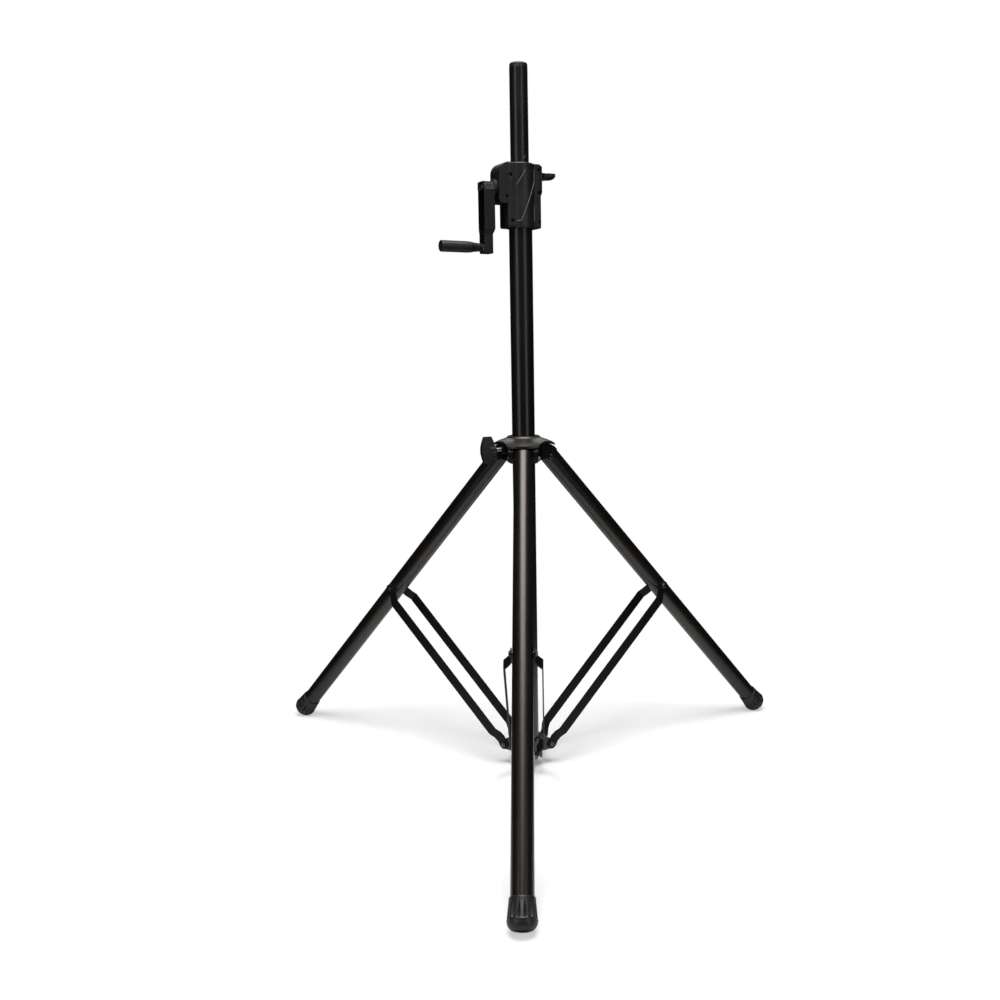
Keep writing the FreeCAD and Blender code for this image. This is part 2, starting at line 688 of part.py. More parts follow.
def worm():
    """Single left-hand thread on a sleeve; a thread gap faces the gear's bottom tooth."""
    height = WORM_U[1] - WORM_U[0] + 2 * PITCH
    helix = Part.makeHelix(PITCH, height, WORM_ROOT_R)
    root, crest = 1.55, 0.55  # half widths of the thread at its root and at its crest
    inner, outer = WORM_ROOT_R - 0.4, WORM_TIP_R
    corners = [vec(inner, 0, -root), vec(outer, 0, -crest), vec(outer, 0, crest), vec(inner, 0, root)]
    section = Part.makePolygon(corners + corners[:1])
    thread = Part.Wire([helix]).makePipeShell([section], True, True)
    thread = Part.Solid(thread) if thread.ShapeType != "Solid" else thread
    # the helix starts on the +X side of its axis; mirrored, it becomes left-handed
    thread = thread.mirror(ORIGIN, AXIS_Y)
    thread.rotate(ORIGIN, AXIS_Y, 90)
    # the start now lies on the -Z side; half a turn puts crests at start + half pitch on top
    crest_u = GEAR_U + PITCH / 2 - PITCH * 3
    thread.translate(vec(crest_u - PITCH / 2, 0, CRANK_Z))
    core = rod(WORM_ROOT_R, vec(WORM_U[0], 0, CRANK_Z), vec(WORM_U[1], 0, CRANK_Z))
    limit = rod(WORM_TIP_R + 1, vec(WORM_U[0] + 0.4, 0, CRANK_Z), vec(WORM_U[1] - 0.4, 0, CRANK_Z))
    solid = core.fuse(thread.common(limit))
    return solid.cut(rod(CRANK_SHAFT_R, vec(10, 0, CRANK_Z), vec(60, 0, CRANK_Z)))


def involute_angle(radius, base_r):
    ratio = math.acos(min(1.0, base_r / radius))
    return math.tan(ratio) - ratio


def gear_outline():
    """Involute spur gear about (0, 0) with one tooth centred on the -Z direction."""
    base_r = GEAR_PITCH_R * math.cos(PRESSURE)
    tip_r = GEAR_PITCH_R + 0.9 * MODULE
    root_r = GEAR_PITCH_R - 1.2 * MODULE
    half_tooth = math.pi / (2 * GEAR_TEETH) - BACKLASH / (2 * GEAR_PITCH_R)
    half_at_base = half_tooth + involute_angle(GEAR_PITCH_R, base_r)
    flank = [(root_r, half_at_base + 0.02)]
    for k in range(6):
        radius = base_r + 0.05 + (tip_r - base_r - 0.05) * k / 5
        flank.append((radius, half_at_base - involute_angle(radius, base_r)))
    points = []
    for tooth in range(GEAR_TEETH):
        centre = 2 * math.pi * tooth / GEAR_TEETH - math.pi / 2
        for radius, angle in flank:
            points.append((radius * math.cos(centre - angle), radius * math.sin(centre - angle)))
        for radius, angle in reversed(flank):
            points.append((radius * math.cos(centre + angle), radius * math.sin(centre + angle)))
    return points


def lift_gear():
    points = [(GEAR_U + x, GEAR_Z + z) for x, z in gear_outline()]
    gear = prism(points, -GEAR_HALF_W, GEAR_HALF_W, side_plane)
    for side in (1, -1):
        recess = rod(9.5, vec(GEAR_U, side * 2.2, GEAR_Z), vec(GEAR_U, side * 6, GEAR_Z))
        hub_end = rod(6, vec(GEAR_U, side * 2, GEAR_Z), vec(GEAR_U, side * 7, GEAR_Z))
        gear = gear.cut(recess.cut(hub_end))
    return gear.cut(rod(3.0 + RUNNING, vec(GEAR_U, -10, GEAR_Z), vec(GEAR_U, 10, GEAR_Z)))


RACK_TOP_Z = GEAR_Z + 10.0
RACK_BOTTOM_Z = GEAR_Z - LIFT - 12.0
RACK_HALF_W = 3.5


def rack():
    """Straight rack; the gear's flank on the rack side decides where its teeth stand."""
    # the gear has a tooth at -Z, so a quarter turn away it shows a tooth or a gap
    quarter = GEAR_TEETH / 4.0
    gear_tooth_at_rack = abs(quarter - round(quarter)) < 0.25
    offset = PITCH / 2 if gear_tooth_at_rack else 0.0
    tip_u = RACK_PITCH_U + 0.9 * MODULE
    root_u = RACK_PITCH_U - 1.15 * MODULE
    half = PITCH / 4 - BACKLASH / 2
    tip_half = half - 0.9 * MODULE * math.tan(PRESSURE)
    root_half = half + 1.15 * MODULE * math.tan(PRESSURE)
    points = [(12.6, RACK_BOTTOM_Z), (root_u, RACK_BOTTOM_Z)]
    first = math.ceil((RACK_BOTTOM_Z + root_half - GEAR_Z - offset) / PITCH)
    last = math.floor((RACK_TOP_Z - root_half - GEAR_Z - offset) / PITCH)
    for k in range(first, last + 1):
        z = GEAR_Z + offset + k * PITCH
        points.append((root_u, z - root_half))
        points.append((tip_u, z - tip_half))
        points.append((tip_u, z + tip_half))
        points.append((root_u, z + root_half))
    points.append((root_u, RACK_TOP_Z))
    points.append((12.6, RACK_TOP_Z))
    return prism(points, -RACK_HALF_W, RACK_HALF_W, side_plane)


export("worm", [in_crank_frame(worm())])
export("lift_gear", [in_crank_frame(lift_gear())])
export("mast_rack", [in_crank_frame(rack())])

axle = fused(
    [
        rod(3.0, vec(GEAR_U, -15.5, GEAR_Z), vec(GEAR_U, 15, GEAR_Z)),
        rod(4.4, vec(GEAR_U, 13.5, GEAR_Z), vec(GEAR_U, 15.7, GEAR_Z)),
    ]
)
slot = box(GEAR_U - 3.6, GEAR_U + 3.6, 14.7, 17, GEAR_Z - 0.6, GEAR_Z + 0.6)
export("gear_axle", [in_crank_frame(axle.cut(slot))])

# ---- inner mast ----------------------------------------------------------------------------

SLEEVE_Z = (RACK_TOP_Z + 1.0, 1240.0)
JOIN_SCREW_Z = 1216.0
mast = ring(MAST_R, MAST_BORE_R, MAST_BOTTOM_Z, SPIGOT_BOTTOM_Z)
mast = mast.cut(box(10, 22, -RACK_HALF_W, RACK_HALF_W, RACK_BOTTOM_Z, RACK_TOP_Z))
export("mast_tube", [in_crank_frame(mast)])

spigot = ring(SPIGOT_R, SPIGOT_BORE_R, SPIGOT_BOTTOM_Z, SPIGOT_TOP_Z)
sleeve = ring(MAST_BORE_R, 13.4, SLEEVE_Z[0], SLEEVE_Z[1])
screw_profile = [(0, 0), (2.4, 0), (2.4, 3.9), (3.1, 4.5), (0, 4.5)]
for azimuth in (90.0, 270.0):
    hole = turned(rod(2.4, vec(10, 0, JOIN_SCREW_Z), vec(25, 0, JOIN_SCREW_Z)), azimuth)
    sink = Part.makeCone(2.4, 3.8, 1.2, vec(16.5, 0, JOIN_SCREW_Z), AXIS_X)
    spigot = without(spigot, [hole, turned(sink, azimuth)])
    sleeve = sleeve.cut(hole)
# open cross hole that lines the sleeve up, a quarter turn from the screws
pilot = rod(2.0, vec(-25, 0, JOIN_SCREW_Z - 3), vec(25, 0, JOIN_SCREW_Z - 3))
spigot = spigot.cut(pilot)
sleeve = sleeve.cut(pilot)
export("spigot_tube", [in_crank_frame(spigot)])
export("spigot_sleeve", [in_crank_frame(sleeve)])
screws = []
for azimuth in (90.0, 270.0):
    screw = revolved(screw_profile, vec(12.6, 0, JOIN_SCREW_Z), AXIS_X)
    screw = screw.cut(hexagon(2.6, 3, vec(16.2, 0, JOIN_SCREW_Z), AXIS_X))
    screws.append(in_crank_frame(turned(screw, azimuth)))
export("spigot_screws", screws)

cap_profile = [
    (0, SPIGOT_TOP_Z - 16),
    (SPIGOT_BORE_R, SPIGOT_TOP_Z - 16),
    (SPIGOT_BORE_R, SPIGOT_TOP_Z),
    (17.2, SPIGOT_TOP_Z),
    (17.2, STAND_TOP_Z - 3.4),
    (16.2, STAND_TOP_Z - 1.4),
    (13.4, STAND_TOP_Z - 0.3),
    (9.0, STAND_TOP_Z),
    (0, STAND_TOP_Z),
]
export("spigot_cap", [revolved(cap_profile, ORIGIN, AXIS_Z)])

# plastic slider that closes and guides the bottom of the inner mast
slider_profile = [
    (0, MAST_BOTTOM_Z - 5),
    (MAIN_BORE_R - 0.9, MAST_BOTTOM_Z - 5),
    (MAIN_BORE_R - 0.08, MAST_BOTTOM_Z - 3),
    (MAIN_BORE_R - 0.08, MAST_BOTTOM_Z + 25),
    (MAST_R, MAST_BOTTOM_Z + 25),
    (MAST_R, MAST_BOTTOM_Z),
    (MAST_BORE_R, MAST_BOTTOM_Z),
    (MAST_BORE_R, MAST_BOTTOM_Z + 18),
    (0, MAST_BOTTOM_Z + 18),
]
export("mast_slider", [revolved(slider_profile, ORIGIN, AXIS_Z)])

# ---- crank ---------------------------------------------------------------------------------

SHAFT_START = 21.2
NUT_SEAT_U = 77.6
shaft = fused(
    [
        rod(CRANK_SHAFT_R, vec(SHAFT_START, 0, CRANK_Z), vec(NUT_SEAT_U, 0, CRANK_Z)),
        rod(3.5, vec(NUT_SEAT_U, 0, CRANK_Z), vec(82.6, 0, CRANK_Z)),
    ]
)
export("crank_shaft", [in_crank_frame(shaft)])

boss_profile = [(CRANK_SHAFT_R, 0), (14.4, 0), (15, 0.8), (15, 5.4), (13.6, 6.5), (CRANK_SHAFT_R, 6.5)]
export("crank_boss", [in_crank_frame(revolved(boss_profile, vec(54.4, 0, CRANK_Z), AXIS_X))])

nut = hexagon(11.0, 4.0, vec(NUT_SEAT_U, 0, CRANK_Z), AXIS_X)
nut = nut.cut(rod(3.5, vec(70, 0, CRANK_Z), vec(90, 0, CRANK_Z)))
export("crank_nut", [in_crank_frame(nut)])

# pressed channel, open on its outer side, narrower around the fold of the grip
WIDE, NARROW = 13.0, 10.7
NARROW_TOP_Z, WIDE_BOTTOM_Z = 1070.0, 1080.0


def channel(inset, outer_u, z0, z1):
    """The arm's envelope, inset on its two sides and its back."""
    wide, narrow = WIDE - inset, NARROW - inset
    front_view = [
        (-narrow, z0), (narrow, z0), (narrow, NARROW_TOP_Z), (wide, WIDE_BOTTOM_Z),
        (wide, z1), (-wide, z1), (-wide, WIDE_BOTTOM_Z), (-narrow, NARROW_TOP_Z),
    ]
    side_view = [
        (65.2 + inset, z0), (outer_u, z0), (outer_u, z1), (ARM_INNER_U + inset, z1),
        (ARM_INNER_U + inset, WIDE_BOTTOM_Z), (65.2 + inset, NARROW_TOP_Z),
    ]
    return prism(front_view, 50, 100, end_plane).common(prism(side_view, -20, 20, side_plane))


arm = channel(0, ARM_OUTER_U, ARM_BOTTOM_Z, ARM_TOP_Z)
arm = arm.cut(channel(ARM_WALL, 90, ARM_BOTTOM_Z - 5, ARM_TOP_Z + 5))
FOLD_PIN_R = 2.0
ARM_RIVETS_Z = (1129.0, 1138.0)
arm = arm.cut(rod(FOLD_PIN_R, vec(FOLD_U, -20, GRIP_Z), vec(FOLD_U, 20, GRIP_Z)))
for z in ARM_RIVETS_Z:
    arm = arm.cut(rod(2.0, vec(55, 0, z), vec(66, 0, z)))
export("crank_arm", [in_crank_frame(arm)])

# moulded head that joins the arm to the shaft, with a tongue riveted behind the channel
HEAD_TOP_Z = 1165.8
head = box(60.9, 83.8, -13.3, 13.3, ARM_TOP_Z, HEAD_TOP_Z)
head = filleted(head, 3.0, lambda m, d: along(d, AXIS_X) and m.z > 1160)
tongue = box(ARM_INNER_U + ARM_WALL, 65.4, -8, 8, 1123, ARM_TOP_Z + 2)
head = fused([head, tongue])
head_cuts = [
    rod(CRANK_SHAFT_R, vec(50, 0, CRANK_Z), vec(NUT_SEAT_U, 0, CRANK_Z)),
    rod(7.0, vec(NUT_SEAT_U, 0, CRANK_Z), vec(90, 0, CRANK_Z)),
]
for z in ARM_RIVETS_Z:
    head_cuts.append(rod(2.0, vec(55, 0, z), vec(66, 0, z)))
export("crank_arm_head", [in_crank_frame(without(head, head_cuts))])
rivets = []
for z in ARM_RIVETS_Z:
    rivet = revolved([(0, 0), (2.6, 0), (3.4, 1.1), (2.0, 1.1), (2.0, 5.3), (0, 5.3)], vec(59.9, 0, z), AXIS_X)
    rivets.append(in_crank_frame(rivet))
export("crank_arm_rivets", rivets)

pin = rod(FOLD_PIN_R, vec(FOLD_U, -NARROW + 0.2, GRIP_Z), vec(FOLD_U, NARROW - 0.2, GRIP_Z))
export("grip_fold_pin", [in_crank_frame(pin)])

# fold block and the spindle the grip turns on
SPINDLE_R = 4.0
GRIP_START = FOLD_U + 8.0
GRIP_END = FOLD_U + 92.5
post = fused(
    [
        rod(6.2, vec(FOLD_U, -8.4, GRIP_Z), vec(FOLD_U, 8.4, GRIP_Z)),
        box(FOLD_U, FOLD_U + 7.0, -6.2, 6.2, GRIP_Z - 6.2, GRIP_Z + 6.2),
        rod(SPINDLE_R, vec(FOLD_U, 0, GRIP_Z), vec(GRIP_END - 9, 0, GRIP_Z)),
    ]
)
post = post.cut(rod(FOLD_PIN_R + RUNNING, vec(FOLD_U, -20, GRIP_Z), vec(FOLD_U, 20, GRIP_Z)))
export("grip_post", [in_crank_frame(post)])

GRIP_LENGTH = GRIP_END - GRIP_START
grip_profile = [
    (SPINDLE_R + RUNNING, 0),
    (6.4, 0),
    (7.2, 0.9),
    (8.1, 9),
    (8.6, 16),
    (10.3, 25),
    (10.6, 33),
    (10.6, GRIP_LENGTH - 1.2),
    (9.6, GRIP_LENGTH),
    (7.4, GRIP_LENGTH),
    (7.4, GRIP_LENGTH - 8),
    (SPINDLE_R + RUNNING, GRIP_LENGTH - 8),
]
grip = revolved(grip_profile, vec(GRIP_START, 0, GRIP_Z), AXIS_X)
export("grip_handle", [in_crank_frame(grip)])
end_cap = [(0, 0), (7.4, 0), (7.4, 6.4), (6.6, 7.0), (0, 7.0)]
export("grip_end_cap", [in_crank_frame(revolved(end_cap, vec(GRIP_END - 7.4, 0, GRIP_Z), AXIS_X))])
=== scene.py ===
import json
import math

import bmesh
import bpy
from mathutils import Matrix, Vector


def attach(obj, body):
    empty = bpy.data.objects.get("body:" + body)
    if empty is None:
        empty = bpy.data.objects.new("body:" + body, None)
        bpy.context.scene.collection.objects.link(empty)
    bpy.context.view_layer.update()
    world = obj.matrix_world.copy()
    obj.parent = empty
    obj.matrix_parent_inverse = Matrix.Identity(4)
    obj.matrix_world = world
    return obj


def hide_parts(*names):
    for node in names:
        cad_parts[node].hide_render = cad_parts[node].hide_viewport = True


# Crank lighting stand: finishes, fine detail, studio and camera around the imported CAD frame.
# Metres, +Z up, front leg towards -Y.

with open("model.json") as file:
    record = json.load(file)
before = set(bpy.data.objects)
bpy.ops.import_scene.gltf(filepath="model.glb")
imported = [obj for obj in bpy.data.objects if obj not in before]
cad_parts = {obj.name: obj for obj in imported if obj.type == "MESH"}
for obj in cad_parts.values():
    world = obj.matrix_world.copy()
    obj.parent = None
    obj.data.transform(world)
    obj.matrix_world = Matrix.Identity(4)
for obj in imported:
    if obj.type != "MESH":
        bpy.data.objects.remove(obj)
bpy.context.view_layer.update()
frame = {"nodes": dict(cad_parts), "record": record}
NODES = frame["nodes"]

# ---- node material helpers ------------------------------------------------------------------


class Shader:
    """Small wrapper that adds and links nodes in one material."""

    def __init__(self, name):
        self.material = bpy.data.materials.new(name)
        self.material.use_nodes = True
        self.tree = self.material.node_tree
        self.surface = self.tree.nodes["Principled BSDF"]

    def node(self, kind, settings=None, **values):
        made = self.tree.nodes.new(kind)
        for key, value in (settings or {}).items():
            setattr(made, key, value)
        for key, value in values.items():
            socket = made.inputs[key.replace("_", " ")]
            if isinstance(value, bpy.types.NodeSocket):
                self.tree.links.new(value, socket)
            else:
                socket.default_value = value
        return made

    def math(self, operation, a, b=None, clamp=False):
        made = self.tree.nodes.new("ShaderNodeMath")
        made.operation = operation
        made.use_clamp = clamp
        for place, value in enumerate((a, b)):
            if isinstance(value, bpy.types.NodeSocket):
                self.tree.links.new(value, made.inputs[place])
            elif value is not None:
                made.inputs[place].default_value = value
        return made.outputs[0]

    def remap(self, value, low, high, to_low, to_high):
        made = self.node("ShaderNodeMapRange", {"clamp": True}, Value=value)
        made.inputs["From Min"].default_value = low
        made.inputs["From Max"].default_value = high
        made.inputs["To Min"].default_value = to_low
        made.inputs["To Max"].default_value = to_high
        return made.outputs["Result"]

    def mix(self, factor, a, b):
        made = self.tree.nodes.new("ShaderNodeMix")
        made.data_type = "RGBA"
        for name, value in (("Factor", factor), ("A", a), ("B", b)):
            socket = [s for s in made.inputs if s.name == name and s.enabled][0]
            if isinstance(value, bpy.types.NodeSocket):
                self.tree.links.new(value, socket)
            else:
                socket.default_value = value
        return [s for s in made.outputs if s.enabled][0]

    def noise(self, scale, detail=3.0, rough=0.5, stretch=(1, 1, 1)):
        coords = self.node("ShaderNodeTexCoord").outputs["Object"]
        moved = self.node("ShaderNodeMapping", None, Vector=coords)
        moved.inputs["Scale"].default_value = stretch
        made = self.node("ShaderNodeTexNoise", None, Vector=moved.outputs[0])
        made.inputs["Scale"].default_value = scale
        made.inputs["Detail"].default_value = detail
        made.inputs["Roughness"].default_value = rough
        return made.outputs["Fac"]

    def edge_mask(self, radius):
        """1 on outside and inside edges that are sharper than radius, 0 on open faces."""
        soft = self.node("ShaderNodeBevel", {"samples": 4}, Radius=radius).outputs["Normal"]
        sharp = self.node("ShaderNodeNewGeometry").outputs["Normal"]
        dot = self.node("ShaderNodeVectorMath", {"operation": "DOT_PRODUCT"})
        self.tree.links.new(soft, dot.inputs[0])
        self.tree.links.new(sharp, dot.inputs[1])
        return self.remap(dot.outputs["Value"], 0.995, 0.86, 0.0, 1.0), soft


def rgba(colour):
    return (colour[0], colour[1], colour[2], 1.0)


DUST_COLOUR = (0.30, 0.29, 0.28)
GRAIN_HEIGHT = 0.0002  # metres


def finish_material(name, colour, second, rough, grain, bump, wear, metallic=0.0, edge=0.0007, wear_share=0.5,
                    dust=0.0, stretch=(1, 1, 1), blotch=14.0, specular=0.5, tint=(1.0, 1.0, 1.0)):
    """A worn, slightly uneven finish: two tones, grain in the bump, rubbed edges and light dust."""
    s = Shader(name)
    p = s.surface
    broad = s.noise(blotch, 4.0, 0.55)
    fine = s.noise(grain, 2.0, 0.6, stretch)
    speck = s.noise(grain * 0.22, 5.0, 0.7, stretch)
    tone = s.remap(broad, 0.35, 0.65, 0.0, 1.0)
    base = s.mix(tone, rgba(colour), rgba(second))
    mask, soft_normal = s.edge_mask(edge)
    patchy = s.remap(speck, 0.3, 0.6, 0.2, 1.0)
    rubbed = s.remap(s.math("MULTIPLY", mask, patchy), 0.15, 0.8, 0.0, wear_share)
    base = s.mix(rubbed, base, rgba(wear))
    if dust > 0:
        up = s.node("ShaderNodeSeparateXYZ", None, Vector=soft_normal).outputs["Z"]
        facing_up = s.remap(up, 0.35, 0.95, 0.0, dust)
        settled = s.math("MULTIPLY", facing_up, s.remap(speck, 0.35, 0.7, 0.3, 1.0))
        base = s.mix(settled, base, rgba(DUST_COLOUR))
    s.tree.links.new(base, p.inputs["Base Color"])
    low, high = rough
    uneven = s.math("ADD", s.math("MULTIPLY", broad, 0.6), s.math("MULTIPLY", speck, 0.4))
    shine = s.remap(uneven, 0.35, 0.65, low, high)
    s.tree.links.new(shine, p.inputs["Roughness"])
    raised = s.node("ShaderNodeBump", None, Height=fine, Normal=soft_normal)
    raised.inputs["Strength"].default_value = bump
    raised.inputs["Distance"].default_value = GRAIN_HEIGHT
    s.tree.links.new(raised.outputs["Normal"], p.inputs["Normal"])
    p.inputs["Metallic"].default_value = metallic
    p.inputs["Specular IOR Level"].default_value = specular
    p.inputs["Specular Tint"].default_value = rgba(tint)
    return s.material


POWDER = finish_material(
    "powder_coat",
    colour=(0.0030, 0.0027, 0.0026), second=(0.0048, 0.0043, 0.0040),
    rough=(0.29, 0.36), grain=1500, bump=0.07, wear=(0.05, 0.046, 0.043),
    wear_share=0.4, blotch=9.0, dust=0.006,
)
LEG_COAT = finish_material(
    "powder_coat_warm",
    colour=(0.0030, 0.0027, 0.0024), second=(0.0048, 0.0042, 0.0037),
    rough=(0.29, 0.36), grain=1500, bump=0.07, wear=(0.05, 0.045, 0.041),
    wear_share=0.4, blotch=9.0, dust=0.006, tint=(1.0, 0.93, 0.88),
)
MATTE_PAINT = finish_material(
    "matte_paint",
    colour=(0.0024, 0.0021, 0.0019), second=(0.0040, 0.0035, 0.0031),
    rough=(0.50, 0.63), grain=1300, bump=0.12, wear=(0.06, 0.055, 0.05),
    wear_share=0.45, blotch=16.0, dust=0.01, specular=0.15,
)
CASTING = finish_material(
    "painted_casting",
    colour=(0.0085, 0.0070, 0.0058), second=(0.0145, 0.0118, 0.0098),
    rough=(0.33, 0.43), grain=900, bump=0.22, wear=(0.10, 0.092, 0.085),
    wear_share=0.5, blotch=30.0, dust=0.03, tint=(1.0, 0.94, 0.87),
)
PLASTIC = finish_material(
    "grained_plastic",
    colour=(0.0036, 0.0035, 0.0035), second=(0.0064, 0.0062, 0.0061),
    rough=(0.40, 0.52), grain=2200, bump=0.25, wear=(0.075, 0.073, 0.07),
    wear_share=0.45, blotch=26.0, dust=0.015,
)
RUBBER = finish_material(
    "moulded_rubber",
    colour=(0.0040, 0.0039, 0.0038), second=(0.0075, 0.0073, 0.0070),
    rough=(0.36, 0.50), grain=1300, bump=0.35, wear=(0.06, 0.058, 0.055),
    wear_share=0.4, blotch=40.0, dust=0.03,
)
STEEL = finish_material(
    "machined_steel",
    colour=(0.50, 0.50, 0.50), second=(0.36, 0.355, 0.35),
    rough=(0.20, 0.36), grain=1400, bump=0.25, wear=(0.72, 0.72, 0.71),
    metallic=1.0, wear_share=0.5, blotch=60.0, stretch=(1, 1, 0.2),
)
FASTENER = finish_material(
    "black_zinc",
    colour=(0.055, 0.053, 0.05), second=(0.09, 0.087, 0.082),
    rough=(0.26, 0.42), grain=1800, bump=0.3, wear=(0.30, 0.29, 0.28),
    metallic=0.9, wear_share=0.7, edge=0.0004, blotch=90.0,
)
BRIGHT = finish_material(
    "bright_zinc",
    colour=(0.30, 0.30, 0.31), second=(0.20, 0.20, 0.205),
    rough=(0.26, 0.40), grain=1800, bump=0.2, wear=(0.8, 0.8, 0.8),
    metallic=1.0, wear_share=0.5, edge=0.0004, blotch=90.0,
)
# light grey plastic for the beads: a painted highlight of moulded edges catching light, not the black
# plastic's own colour
HIGHLIGHT_PAINTED_PLASTIC = finish_material(
    "plastic_painted_highlight",
    colour=(0.20, 0.197, 0.19), second=(0.26, 0.255, 0.25),
    rough=(0.28, 0.36), grain=1800, bump=0.1, wear=(0.22, 0.22, 0.215),
    wear_share=0.4, blotch=60.0,
)
NYLON = finish_material(
    "bearing_nylon",
    colour=(0.06, 0.06, 0.062), second=(0.08, 0.08, 0.083),
    rough=(0.35, 0.5), grain=900, bump=0.3, wear=(0.14, 0.14, 0.14),
    wear_share=0.4, blotch=50.0,
)

LOOK = {
    "black_steel": POWDER,
    "black_casting": CASTING,
    "black_plastic": PLASTIC,
    "foot_rubber": RUBBER,
    "plain_steel": STEEL,
    "dark_fasteners": FASTENER,
    "bearing_plastic": NYLON,
}
slot_of = {row["node"]: row["material_slot"] for row in frame["record"]["subparts"]}
SPECIAL = {"hub_body": MATTE_PAINT}
for leg in (1, 2, 3):
    SPECIAL["brace_%d_bars" % leg] = MATTE_PAINT
    SPECIAL["leg_%d_tube" % leg] = LEG_COAT
for node_name, obj in NODES.items():
    obj.data.materials.clear()
    obj.data.materials.append(SPECIAL.get(node_name, LOOK[slot_of[node_name]]))

# ---- fine shapes that stand for CAD nodes ---------------------------------------------------------

MM = 0.001
SWIRL = 2 * math.pi


def mesh_piece(name, points, faces, material, body):
    mesh = bpy.data.meshes.new(name)
    mesh.from_pydata(points, [], faces)
    mesh.validate()
    bm = bmesh.new()
    bm.from_mesh(mesh)
    bmesh.ops.recalc_face_normals(bm, faces=bm.faces)
    bm.to_mesh(mesh)
    bm.free()
    mesh.shade_smooth()
    mesh.materials.append(material)
    obj = bpy.data.objects.new(name, mesh)
    bpy.context.scene.collection.objects.link(obj)
    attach(obj, body)
    return obj


def turned_piece(name, profile, base, axis, segments, material, body, cut=None, floor=None):
    """Closed body of revolution about axis from base. profile is (along, radius) in mm, ends at radius 0.

    cut(along, angle) is taken off the radius; points below floor are lifted onto it, in metres."""
    axis = Vector(axis).normalized()
    across = axis.orthogonal().normalized()
    if abs(axis.z) < 0.99:
        across = (Vector((0, 0, 1)) - axis * axis.z).normalized()
    third = axis.cross(across)
    points, faces = [], []
    for along, radius in profile:
        for k in range(segments):
            angle = SWIRL * k / segments
            r = radius - (cut(along, angle) if cut and radius > 0 else 0.0)
            outward = across * math.cos(angle) + third * math.sin(angle)
            place = Vector(base) + (axis * along + outward * r) * MM
            if floor is not None and place.z < floor:
                place.z = floor
            points.append(place)
    for ring in range(len(profile) - 1):
        for k in range(segments):
            a, b = ring * segments + k, ring * segments + (k + 1) % segments
            faces.append((a, b, b + segments, a + segments))
    return mesh_piece(name, points, faces, material, body)


def smooth_step(t):
    t = min(1.0, max(0.0, t))
    return t * t * (3 - 2 * t)


# rubber feet: tapered cups with fluted sides, a smooth heel and a recessed end
LEG_TILT = math.radians(41.83)
FOOT_R, FOOT_Z = 626.97, 9.12  # centre of the end of each foot
FOOT_CORNER = 13.1  # radius of the round heel
HEEL_RISE = FOOT_CORNER * 0.992  # leaves a small lip where the fluted side starts
FOOT_LENGTH = 48.0
HEEL_R, RIM_R = 24.0, 20.7  # outside radius above the heel and at the top
RIM_START = 46.3
CORNER_START = 10.3
SLEEVE_R = 18.45  # the leg tube fits in here
FLUTES = 14
FLUTE_BOTTOM, FLUTE_TOP = 15.0, 45.5
FLUTE_DEPTH, WAIST_DEPTH = 3.1, 0.25


def foot_profile():
    """Section of a foot as (along, radius): recessed end, round heel, tapered side and rim."""
    rows = [(1.6, 0.0), (1.6, 8.6), (1.2, 9.3), (0.3, 9.7), (0.0, CORNER_START)]
    for k in range(1, 13):
        turn = math.pi / 2 * k / 12
        rows.append((FOOT_CORNER * (1 - math.cos(turn)), CORNER_START + HEEL_RISE * math.sin(turn)))
    for k in range(1, 41):
        along = FOOT_CORNER + (RIM_START - FOOT_CORNER) * k / 40
        rows.append((along, HEEL_R - (HEEL_R - RIM_R) * k / 40))
    return rows + [(47.2, 20.5), (47.9, 19.8), (FOOT_LENGTH, 19.2), (47.9, 18.7), (46.0, SLEEVE_R)]


def foot_flute(along, angle):
    """Depth of the flutes: they start shallow at the top, deepen downwards and end in a slanted facet."""
    if along < FLUTE_BOTTOM or along > FLUTE_TOP:
        return 0.0
    deep = smooth_step((FLUTE_TOP - along) / 22.0) * smooth_step((along - 15.5) / 3.6)
    share = abs((angle * FLUTES / SWIRL) % 1.0 - 0.5) * 2
    width = 0.30 + 0.34 * smooth_step((45.0 - along) / 26.0)
    waist = WAIST_DEPTH * smooth_step((FLUTE_TOP - along) / 6.0)
    return FLUTE_DEPTH * deep * smooth_step(1.0 - share / width) + waist


for number, azimuth in ((1, -90.0), (2, 30.0), (3, 150.0)):
    heading = Vector((math.cos(math.radians(azimuth)), math.sin(math.radians(azimuth)), 0))
    base = heading * (FOOT_R * MM) + Vector((0, 0, FOOT_Z * MM))
    axis = Vector((0, 0, 1)) * math.cos(LEG_TILT) - heading * math.sin(LEG_TILT)
    foot = turned_piece("rubber_foot_%d" % number, foot_profile(), base, axis, FLUTES * 18, RUBBER,
                        "leg_%d" % number, cut=foot_flute, floor=0.0)
    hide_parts("leg_%d_foot" % number)

# threaded studs of the two clamping knobs, in the crank frame: u away from the mast towards the crank
CRANK_HEADING = math.radians(210.0)
U = Vector((math.cos(CRANK_HEADING), math.sin(CRANK_HEADING), 0))
V = Vector((math.cos(CRANK_HEADING + math.pi / 2), math.sin(CRANK_HEADING + math.pi / 2), 0))
THREAD_PITCH = 1.25
THREAD_DEPTH = 0.62
THREAD_R = 3.98
POINT_LENGTH = 0.8  # chamfered end of a stud


def thread_cut(along, angle):
    """Depth below the crests of a metric thread."""
    share = (along / THREAD_PITCH - angle / SWIRL) % 1.0
    return THREAD_DEPTH * min(1.0, 2.2 * abs(share - 0.5))


